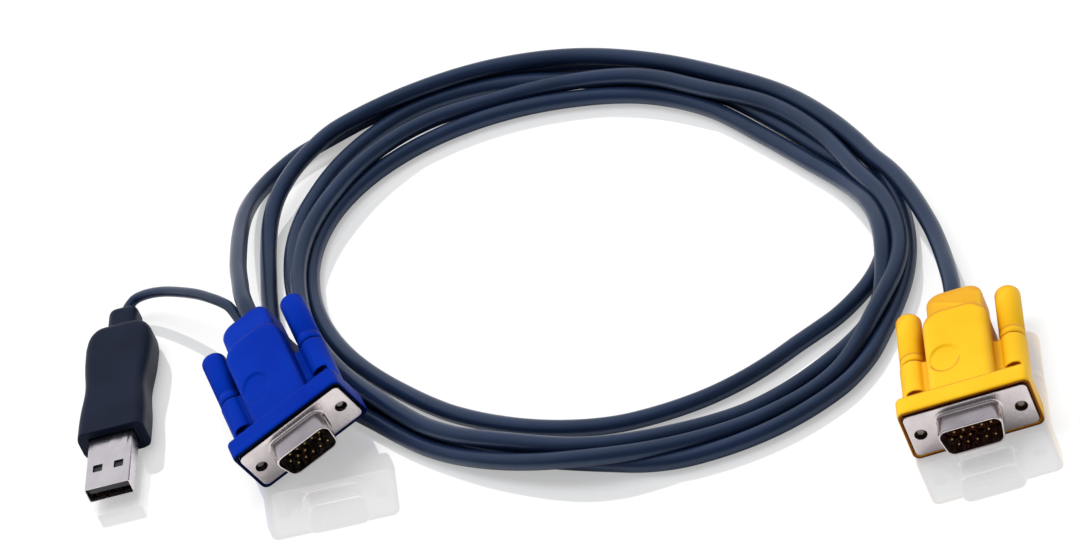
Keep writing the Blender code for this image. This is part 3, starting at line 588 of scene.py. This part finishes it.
def makeHood(plug, entries):
    v = hoodValues
    half = (v["lip"][0] / 2, v["lip"][1] / 2)
    hood = newPiece(f"hood_{plug}", boxMesh(
        (-half[0], v["lipFront"], -half[1]), (half[0], v["lipBack"], half[1]),
        [
            (lambda e: alongAxis(e, 1), v["lipCorner"], 6),
            (lambda e: backOf(e) < v["lipFront"] + touching, v["lipRound"], 4),
        ],
    ))
    halfBody = (v["body"][0] / 2, v["body"][1] / 2)
    body = newPiece("hoodBody", boxMesh(
        (-halfBody[0], v["lipBack"] / 2, -halfBody[1]), (halfBody[0], v["bodyEnd"], halfBody[1]),
        [
            (lambda e: alongAxis(e, 2) and backOf(e) > v["bodyEnd"] - touching, v["bodyRound"], 10),
            (lambda e: not alongAxis(e, 2), v["bodyCorner"], 6),
        ],
    ))
    halfRear = (v["rear"][0] / 2, v["rear"][1] / 2)
    rear = newPiece("hoodRear", boxMesh(
        (-halfRear[0], v["bodyEnd"] - v["rearReach"], -halfRear[1]),
        (halfRear[0], v["rearEnd"], halfRear[1]),
        [
            (lambda e: alongAxis(e, 2), v["rearCorner"], 8),
            (lambda e: abs(e.verts[0].co.z - e.verts[1].co.z) < touching, v["rearEdge"], 5),
        ],
    ))
    for vert in rear.data.vertices:
        share = max(0.0, (vert.co.y - v["taperFrom"]) / (v["rearEnd"] - v["taperFrom"]))
        vert.co.z *= v["rearTaper"][0] + (v["rearTaper"][1] - v["rearTaper"][0]) * share
    axis = v["screwSpacing"] / 2
    sleeves = [
        newPiece("hoodSleeve", rodMesh(
            side * axis, 0, v["lipBack"] / 2, v["sleeveEnd"], v["sleeveDiameter"], 64,
        ))
        for side in (-1, 1)
    ]
    web = newPiece("hoodWeb", boxMesh(
        (-axis, v["lipBack"] / 2, -v["webHeight"] / 2),
        (axis, v["sleeveEnd"] - clearance, v["webHeight"] / 2),
    ))
    combine(hood, [body, rear, web, *sleeves], "UNION")
    cutters = []
    slotOuter = axis + v["pocketPast"]
    for side in (-1, 1):
        cutters.append(newPiece("screwBore", rodMesh(
            side * axis, 0, -overcut, v["sleeveEnd"] + overcut, v["screwHole"],
        )))
        for up in (-1, 1):
            near, far = sorted((side * halfBody[0], side * slotOuter))
            low, high = sorted((up * v["pocketFloor"], up * half[1] * 2))
            cutters.append(newPiece("pocket", boxMesh(
                (near, v["lipBack"] + clearance, low), (far, v["pocketEnd"], high),
            )))
    plateHalf = (v["plate"][0] / 2 + clearance, v["plate"][1] / 2 + clearance)
    cutters.append(newPiece("plateRecess", boxMesh(
        (-plateHalf[0], -overcut, -plateHalf[1]), (plateHalf[0], v["plateBack"], plateHalf[1]),
        [(lambda e: alongAxis(e, 1), v["plateCorner"], 4)],
    )))
    for room, end in (("collarRoom", "collarEnd"), ("coreRoom", "coreEnd")):
        wide, high = v[room][0] / 2, v[room][1] / 2
        cutters.append(newPiece(room, boxMesh((-wide, 0, -high), (wide, v[end], high))))
    for (x, z), diameter in entries:
        cutters.append(newPiece("gland", rodMesh(
            x, z, v["rearEnd"] - cableValues["glandDepth"], v["rearEnd"] + overcut, diameter + clearance,
        )))
    combine(hood, cutters, "DIFFERENCE")
    soften(hood, v["voxel"], v["smoothing"])
    # a shallow plain oval on the top and the underside, for the finger
    bm = bmesh.new()
    bm.from_mesh(hood.data)
    for vert in bm.verts:
        x = (vert.co.x - v["markCentre"][0]) / v["markHalf"][0]
        y = (vert.co.y - v["markCentre"][1]) / v["markHalf"][1]
        away = (math.hypot(x, y) - 1) * v["markHalf"][1]
        onFace = abs(vert.normal.z) > aligned and abs(vert.co.z) > v["markLevel"] * halfBody[1]
        if onFace and away < v["markWidth"]:
            share = min(1.0, max(0.0, (v["markWidth"] - away) / v["markWidth"]))
            vert.co.z -= math.copysign(v["markDepth"] * share * share * (3 - 2 * share), vert.co.z)
    bm.to_mesh(hood.data)
    bm.free()
    finishPiece(hood, plug, plug, mainBody, f"{plug}_hood", 60.0)


knobValues = {
    "front": 0.0240, "length": 0.0180, "radius": 0.0032, "round": 0.0013, "steps": 5, "sides": 48,
    "boreRadius": 0.0017, "boreDepth": 0.0120,
    "frontEdge": ((0.0005, 0.0), (0.0002, 0.0001), (0.0, 0.0004)),  # below the radius, behind the front
    "groove": ((0.0, 0.0026), (0.00022, 0.0029), (0.00022, 0.0033), (0.0, 0.0036)),
}
screwValues = {
    "radius": 0.0014, "root": 0.00112, "pitch": 0.000635, "turns": 12, "sides": 20,
    "tip": 0.0010, "back": 0.0357, "chamfer": 0.0003, "threadFrom": 0.0004, "crest": (0.40, 0.55),
    "runout": (0.0010, 0.0014),
}


def knobProfile(v):
    front, radius, bend = v["front"], v["radius"], v["round"]
    back, boreEnd = front + v["length"], front + v["boreDepth"]
    profile = [(0.0, boreEnd), (v["boreRadius"], boreEnd), (v["boreRadius"], front)]
    profile += [(radius - below, front + behind) for below, behind in v["frontEdge"] + v["groove"]]
    for step in range(v["steps"] + 1):
        turn = math.radians(90) * step / v["steps"]
        profile.append((radius - bend + bend * math.cos(turn), back - bend + bend * math.sin(turn)))
    profile.append((0.0, back))
    return profile


def screwProfile(v):
    # the thread is drawn as rings
    root, radius, tip = v["root"], v["radius"], v["tip"]
    profile = [(0.0, tip), (root - v["chamfer"], tip), (root, tip + v["chamfer"])]
    for turn in range(v["turns"]):
        y = tip + v["threadFrom"] + turn * v["pitch"]
        profile.append((root, y))
        profile += [(radius, y + v["pitch"] * share) for share in v["crest"]]
    y += v["pitch"]
    profile += [(root, y), (root, y + v["runout"][0]), (radius, y + v["runout"][1])]
    return profile + [(radius, v["back"]), (0.0, v["back"])]


def makeThumbscrews(plug):
    for side, word in ((-1, "left"), (1, "right")):
        x = side * hoodValues["screwSpacing"] / 2
        body = f"{plug}_thumbscrew_{word}"
        knob = newPiece(f"knob_{plug}_{word}", turnedMesh(
            knobProfile(knobValues), knobValues["sides"], x,
        ))
        finishPiece(knob, plug, plug, body, f"{plug}_knob_{word}", 50.0)
        screw = newPiece(f"screw_{plug}_{word}", turnedMesh(
            screwProfile(screwValues), screwValues["sides"], x,
        ))
        finishPiece(screw, "steel", plug, body, f"{plug}_screw_{word}", 30.0)


shellValues = {
    "width": 0.0169, "height": 0.00836, "corner": 0.0024, "slope": 10.0, "wall": 0.0005, "depth": 0.0060,
    "cornerSteps": 6, "leastCorner": 0.0004, "hole": 0.0032,
    "plate": (0.0308, 0.0125), "plateThick": 0.0008, "plateCorner": 0.0014, "plateEdge": 0.00018,
    "root": 0.0007, "rootStart": 1.05, "rootSteps": 4, "rootSink": (0.00002, 0.00006),
    "rim": ((0.0, 0.0004), (-0.0001, 0.0001), (-0.00025, 0.0)),  # outside the outline, behind the front
}


def dOutline(width, height, corner):
    steps = shellValues["cornerSteps"]
    narrow = width - 2 * height * math.tan(math.radians(shellValues["slope"]))
    corners = [
        Vector((side * wide / 2, up * height / 2))
        for side, wide, up in ((1, width, 1), (-1, width, 1), (-1, narrow, -1), (1, narrow, -1))
    ]
    outline = []
    for index, here in enumerate(corners):
        before = (corners[index - 1] - here).normalized()
        after = (corners[(index + 1) % 4] - here).normalized()
        half = before.angle(after) / 2
        reach = corner / math.tan(half)
        centre = here + (before + after).normalized() * corner / math.sin(half)
        first, last = here + before * reach - centre, here + after * reach - centre
        turn = first.angle_signed(last)
        for step in range(steps + 1):
            outline.append(centre + Matrix.Rotation(-turn * step / steps, 2) @ first)
    return outline


def dLoop(bm, out, y):
    v = shellValues
    corner = max(v["corner"] + out, v["leastCorner"])
    points = dOutline(v["width"] + 2 * out, v["height"] + 2 * out, corner)
    verts = [bm.verts.new((p.x, y, p.y)) for p in points]
    return [bm.edges.new((a, b)) for a, b in zip(verts, verts[1:] + verts[:1])]


def dSolid(profile):
    # bridges D-shaped loops, each given as (how far outside the shell's outline, y), and closes both ends
    bm = bmesh.new()
    loops = [dLoop(bm, out, y) for out, y in profile]
    for first, second in zip(loops, loops[1:]):
        bmesh.ops.bridge_loops(bm, edges=first + second)
    bmesh.ops.holes_fill(bm, edges=loops[0] + loops[-1], sides=0)
    bmesh.ops.recalc_face_normals(bm, faces=bm.faces)
    return bm


def makeFrontShell(plug):
    v = shellValues
    half = (v["plate"][0] / 2, v["plate"][1] / 2)
    shell = newPiece(f"shell_{plug}", boxMesh(
        (-half[0], 0, -half[1]), (half[0], v["plateThick"], half[1]),
        [
            (lambda e: alongAxis(e, 1), v["plateCorner"], 5),
            (lambda e: backOf(e) < touching, v["plateEdge"], 2),
        ],
    ))
    root, start = v["root"], v["root"] * v["rootStart"]
    profile = [(start, v["plateThick"] / 2), (start, -v["rootSink"][0])]
    for step in range(v["rootSteps"] + 1):
        turn = math.radians(90) * step / v["rootSteps"]
        profile.append((root * (1 - math.sin(turn)), -root * (1 - math.cos(turn)) - v["rootSink"][1]))
    profile += [(out, behind - v["depth"]) for out, behind in v["rim"]]
    combine(shell, [newPiece("skirt", dSolid(profile))], "UNION")
    plateBack = v["plateThick"] + overcut
    throat = [(-v["wall"], -v["depth"] - overcut), (-v["wall"], plateBack)]
    combine(shell, [newPiece("throat", dSolid(throat))], "DIFFERENCE")
    holes = [
        newPiece("plateHole", rodMesh(
            side * hoodValues["screwSpacing"] / 2, 0, -overcut, plateBack, v["hole"], 40,
        ))
        for side in (-1, 1)
    ]
    combine(shell, holes, "DIFFERENCE")
    finishPiece(shell, "nickel", plug, mainBody, f"{plug}_front_shell", 35.0)


pinValues = {
    "pitch": 0.00229, "rowPitch": 0.00198, "rowShift": 0.00057, "rows": 3, "inRow": 5, "leftOut": 9,
    "radius": 0.00038, "tip": -0.0050, "back": 0.0065, "sides": 14, "hole": 0.00104, "holeSides": 16,
    "tipRound": ((0.45, 0.00004), (0.80, 0.0002), (1.0, 0.0005)),  # share of the radius, behind the tip
    "blockBack": 0.0050, "blockInset": -0.0008, "blockEdge": 0.00012, "backEdge": (0.8, 0.0001),
}


def pinPlaces():
    v = pinValues
    for row in range(v["rows"]):
        shift = v["rowShift"] if row % 2 == 0 else -v["rowShift"]
        z = ((v["rows"] - 1) / 2 - row) * v["rowPitch"]
        for column in range(v["inRow"]):
            number = row * v["inRow"] + column + 1
            if number != v["leftOut"]:
                yield number, (column - (v["inRow"] - 1) / 2) * v["pitch"] + shift, z


def pinProfile(v):
    radius, back = v["radius"], v["back"]
    profile = [(0.0, v["tip"])]
    profile += [(radius * share, v["tip"] + behind) for share, behind in v["tipRound"]]
    share, edge = v["backEdge"]
    return profile + [(radius, v["blockBack"]), (radius, back - edge), (radius * share, back), (0.0, back)]


def makeContacts(plug, look):
    v = pinValues
    inset, edge = v["blockInset"], v["blockEdge"]
    block = newPiece(f"insulator_{plug}", dSolid([
        (inset - edge, 0.0), (inset, edge), (inset, v["blockBack"]),
    ]))
    holes = []
    for number, x, z in pinPlaces():
        holes.append(newPiece("pinHole", rodMesh(
            x, z, -overcut, v["blockBack"] + overcut, v["hole"], v["holeSides"],
        )))
        pin = newPiece(f"pin_{plug}_{number:02d}", turnedMesh(pinProfile(v), v["sides"], x, z))
        finishPiece(pin, "gold", plug, mainBody, f"{plug}_pin_{number:02d}", 40.0)
    combine(block, holes, "DIFFERENCE")
    finishPiece(block, look, plug, mainBody, f"{plug}_insulator", 30.0)


def dressNode(node, look):
    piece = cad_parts[node]
    piece.data.materials.clear()
    piece.data.materials.append(looks[look])


def makeVideoPlug(plug, insulatorLook, entries):
    makeHood(plug, entries)
    makeThumbscrews(plug)
    makeFrontShell(plug)
    makeContacts(plug, insulatorLook)
    dressNode(f"{plug}_rear_shell", "nickel")
    dressNode(f"{plug}_core", "white")
    print(plug, "plug ready")


makeVideoPlug("yellow", "brown", [(cableValues["yellowEntry"], cableValues["diameter"])])
makeVideoPlug("blue", "black", [
    (cableValues["blueEntry"], cableValues["diameter"]),
    (cableValues["blueUsbEntry"], cableValues["usbDiameter"]),
])

# usb plug

usbValues = {
    "shell": (0.0120, 0.0045), "shellFront": -0.01875, "shellHeld": 0.0090, "wall": 0.0003,
    "shellCorner": 0.0006, "shellEdge": 0.00008, "edgeFrom": 50,
    "window": 0.0025, "windowSpacing": 0.0056, "windowFront": -0.01275, "windowCorner": 0.00025,
    "tongueHeight": 0.00195, "tongueFront": -0.01795, "tongueEdge": 0.0002,
    "contactX": (-0.0035, -0.0010, 0.0010, 0.0035), "contactWidth": 0.0010, "contactThick": 0.0003,
    "contactFront": -0.01695, "contactLength": 0.0080, "contactEdge": 0.0001,
    "grip": (0.0180, 0.0090), "gripLength": 0.0415, "gripCorner": 0.0024, "gripRound": 0.0050,
    "neck": (0.0080, 0.0068), "neckLength": 0.0075, "neckEdge": 0.0022, "neckFrom": 0.8, "coreEnd": 0.0291,
    "waist": 0.0009, "waistAt": 0.0180, "waistSpread": 0.0070, "rearTaper": 0.0010, "taperFrom": 0.0340,
    "flankFrom": 0.5, "voxel": 0.00028, "smoothing": 6,
}


def makeUsbGrip():
    v = usbValues
    half = (v["grip"][0] / 2, v["grip"][1] / 2)
    grip = newPiece("usbGrip", boxMesh(
        (-half[0], 0, -half[1]), (half[0], v["gripLength"], half[1]),
        [
            (lambda e: alongAxis(e, 2) and backOf(e) > v["gripLength"] - touching, v["gripRound"], 8),
            (lambda e: not alongAxis(e, 2) and backOf(e) > touching, v["gripCorner"], 6),
        ],
    ))
    halfNeck = (v["neck"][0] / 2, v["neck"][1] / 2)
    neckBack = v["gripLength"] + v["neckLength"]
    neck = newPiece("usbNeck", boxMesh(
        (-halfNeck[0], v["gripLength"] * v["neckFrom"], -halfNeck[1]), (halfNeck[0], neckBack, halfNeck[1]),
        [(lambda e: True, v["neckEdge"], 6)],
    ))
    combine(grip, [neck], "UNION")
    seat = (v["shell"][0] / 2 + clearance / 2, v["shell"][1] / 2 + clearance / 2)
    cutters = [
        newPiece("shellSeat", boxMesh(
            (-seat[0], -overcut, -seat[1]), (seat[0], v["coreEnd"] + clearance, seat[1]),
        )),
        newPiece("usbGland", rodMesh(
            0, 0, neckBack - cableValues["glandDepth"], neckBack + overcut,
            cableValues["usbDiameter"] + clearance,
        )),
    ]
    combine(grip, cutters, "DIFFERENCE")
    soften(grip, v["voxel"], v["smoothing"])
    # the flanks draw in at the waist and again towards the neck
    bm = bmesh.new()
    bm.from_mesh(grip.data)
    for vert in bm.verts:
        outward = abs(vert.co.x) / half[0]
        if outward > v["flankFrom"]:
            inward = v["waist"] * math.exp(-((vert.co.y - v["waistAt"]) / v["waistSpread"]) ** 2)
            rearward = max(0.0, vert.co.y - v["taperFrom"]) / (v["gripLength"] - v["taperFrom"])
            inward += v["rearTaper"] * rearward
            share = (outward - v["flankFrom"]) / (1 - v["flankFrom"])
            vert.co.x -= math.copysign(inward * share, vert.co.x)
    bm.to_mesh(grip.data)
    bm.free()
    finishPiece(grip, "grip", "usb", mainBody, "usb_grip", 60.0)


def makeUsbShell():
    v = usbValues
    half = (v["shell"][0] / 2, v["shell"][1] / 2)
    shell = newPiece("usbShell", boxMesh(
        (-half[0], v["shellFront"], -half[1]), (half[0], v["shellHeld"], half[1]),
        [(lambda e: alongAxis(e, 1), v["shellCorner"], 5)],
    ))
    inner = (half[0] - v["wall"], half[1] - v["wall"])
    cutters = [newPiece("usbMouth", boxMesh(
        (-inner[0], v["shellFront"] - overcut, -inner[1]), (inner[0], v["shellHeld"] + overcut, inner[1]),
        [(lambda e: alongAxis(e, 1), v["shellCorner"] - v["wall"], 4)],
    ))]
    for side in (-1, 1):
        x = side * v["windowSpacing"] / 2
        cutters.append(newPiece("usbWindow", boxMesh(
            (x - v["window"] / 2, v["windowFront"], -half[1] - overcut),
            (x + v["window"] / 2, v["windowFront"] + v["window"], half[1] + overcut),
            [(lambda e: alongAxis(e, 2), v["windowCorner"], 3)],
        )))
    combine(shell, cutters, "DIFFERENCE")
    edges = shell.modifiers.new("edges", "BEVEL")
    edges.width = v["shellEdge"]
    edges.segments = 2
    edges.limit_method = "ANGLE"
    edges.angle_limit = math.radians(v["edgeFrom"])
    bake(shell)
    finishPiece(shell, "plate", "usb", mainBody, "usb_shell", 35.0)


def makeUsbTongue():
    v = usbValues
    inner = (v["shell"][0] / 2 - v["wall"], v["shell"][1] / 2 - v["wall"])
    top = inner[1] - clearance
    bottom = top - v["tongueHeight"]
    tongue = newPiece("usbTongue", boxMesh(
        (-inner[0] + clearance, v["tongueFront"], bottom), (inner[0] - clearance, v["shellHeld"], top),
        [(lambda e: True, v["tongueEdge"], 2)],
    ))
    finishPiece(tongue, "black", "usb", mainBody, "usb_tongue", 35.0)
    for index, x in enumerate(v["contactX"]):
        contact = newPiece(f"usbContact_{index + 1}", boxMesh(
            (x - v["contactWidth"] / 2, v["contactFront"], bottom - clearance - v["contactThick"]),
            (x + v["contactWidth"] / 2, v["contactFront"] + v["contactLength"], bottom - clearance),
            [(lambda e: True, v["contactEdge"], 2)],
        ))
        finishPiece(contact, "gold", "usb", mainBody, f"usb_contact_{index + 1}", 35.0)
    dressNode("usb_core", "white")


makeUsbGrip()
makeUsbShell()
makeUsbTongue()
print("usb plug ready")

# floor, backdrop and lights

stageValues = {
    "floorSize": 6.0, "floorWhite": 0.90, "floorRoughness": 0.8,
    "litShare": 0.30, "mirrorShare": 0.29, "mirrorRoughness": 0.0,
    "worldColour": (0.95, 0.97, 1.0), "worldLow": 0.22, "worldHigh": 1.0,
    "brightSide": (-0.18, 0.77, 0.61), "brightFrom": 0.10, "brightTo": 0.75,
}
plainWhite = (1.0, 1.0, 1.0, 1.0)
lampValues = {
    "aim": (-0.10, 0.10, 0.0),
    "overhead": {"place": (-0.30, 0.45, 1.1), "size": 0.8, "power": 12.0, "colour": (1.0, 0.99, 0.97)},
    "front": {"place": (0.55, -0.95, 0.75), "size": 0.6, "power": 1.2, "colour": (0.98, 0.99, 1.0)},
    "left": {"place": (-1.1, -0.2, 0.6), "size": 0.5, "power": 2.0, "colour": (0.95, 0.98, 1.0)},
}


def mixShaders(tree, factor, first, second):
    blend = tree.nodes.new("ShaderNodeMixShader")
    if isinstance(factor, float):
        blend.inputs[0].default_value = factor
    else:
        tree.links.new(factor, blend.inputs[0])
    tree.links.new(first, blend.inputs[1])
    tree.links.new(second, blend.inputs[2])
    return blend.outputs[0]


def makeFloor(values):
    bm = bmesh.new()
    bmesh.ops.create_grid(bm, x_segments=1, y_segments=1, size=values["floorSize"] / 2)
    floor = newPiece("floor", bm)
    paint = (values["floorWhite"],) * 3
    made, tree, shader = newMaterial("whiteFloor", paint, values["floorRoughness"], Specular_IOR_Level=0.0)
    white = tree.nodes.new("ShaderNodeEmission")
    white.inputs["Color"].default_value = plainWhite
    white.inputs["Strength"].default_value = 1.0
    mirror = tree.nodes.new("ShaderNodeBsdfGlossy")
    mirror.inputs["Color"].default_value = plainWhite
    mirror.inputs["Roughness"].default_value = values["mirrorRoughness"]
    # the camera sees mostly white, with the shadow and a faint reflection over it
    rays = tree.nodes.new("ShaderNodeLightPath")
    lit, sheen = values["litShare"], values["mirrorShare"]
    plain = mixShaders(tree, lit / (1 - sheen), white.outputs[0], shader.outputs[0])
    seen = mixShaders(tree, sheen, plain, mirror.outputs[0])
    floorLook = mixShaders(tree, rays.outputs["Is Camera Ray"], shader.outputs[0], seen)
    tree.links.new(floorLook, tree.nodes["Material Output"].inputs["Surface"])
    floor.data.materials.append(made)


def makeWorld(values):
    # a white tent, brightest high up behind the cable
    world = bpy.data.worlds.new("studio")
    world.use_nodes = True
    bpy.context.scene.world = world
    tree = world.node_tree
    back = tree.nodes["Background"]
    back.inputs["Color"].default_value = (*values["worldColour"], 1.0)
    place = tree.nodes.new("ShaderNodeTexCoord")
    toward = tree.nodes.new("ShaderNodeVectorMath")
    toward.operation = "DOT_PRODUCT"
    toward.inputs[1].default_value = values["brightSide"]
    tree.links.new(place.outputs["Generated"], toward.inputs[0])
    strength = mapRange(
        tree, toward.outputs["Value"], values["worldLow"], values["worldHigh"],
        values["brightFrom"], values["brightTo"],
    )
    tree.links.new(strength, back.inputs["Strength"])
    seen = tree.nodes.new("ShaderNodeBackground")
    seen.inputs["Color"].default_value = plainWhite
    seen.inputs["Strength"].default_value = 1.0
    # the camera and the floor's sharp reflection both see plain white
    rays = tree.nodes.new("ShaderNodeLightPath")
    plain = tree.nodes.new("ShaderNodeMath")
    plain.operation = "MAXIMUM"
    tree.links.new(rays.outputs["Is Camera Ray"], plain.inputs[0])
    tree.links.new(rays.outputs["Is Singular Ray"], plain.inputs[1])
    tent = mixShaders(tree, plain.outputs[0], back.outputs[0], seen.outputs[0])
    tree.links.new(tent, tree.nodes["World Output"].inputs["Surface"])


def addLamp(name):
    values = lampValues[name]
    data = bpy.data.lights.new(name, "AREA")
    data.shape = "SQUARE"
    data.size = values["size"]
    data.energy = values["power"]
    data.color = values["colour"]
    lamp = bpy.data.objects.new(name, data)
    bpy.context.scene.collection.objects.link(lamp)
    lamp.location = values["place"]
    lamp.visible_glossy = False  # the tent alone shows in the gloss
    toward = Vector(lampValues["aim"]) - Vector(values["place"])
    lamp.rotation_euler = toward.to_track_quat("-Z", "Y").to_euler()


makeFloor(stageValues)
makeWorld(stageValues)
for lampName in ("overhead", "front", "left"):
    addLamp(lampName)
bpy.context.scene.view_settings.view_transform = "Standard"
print("stage ready")
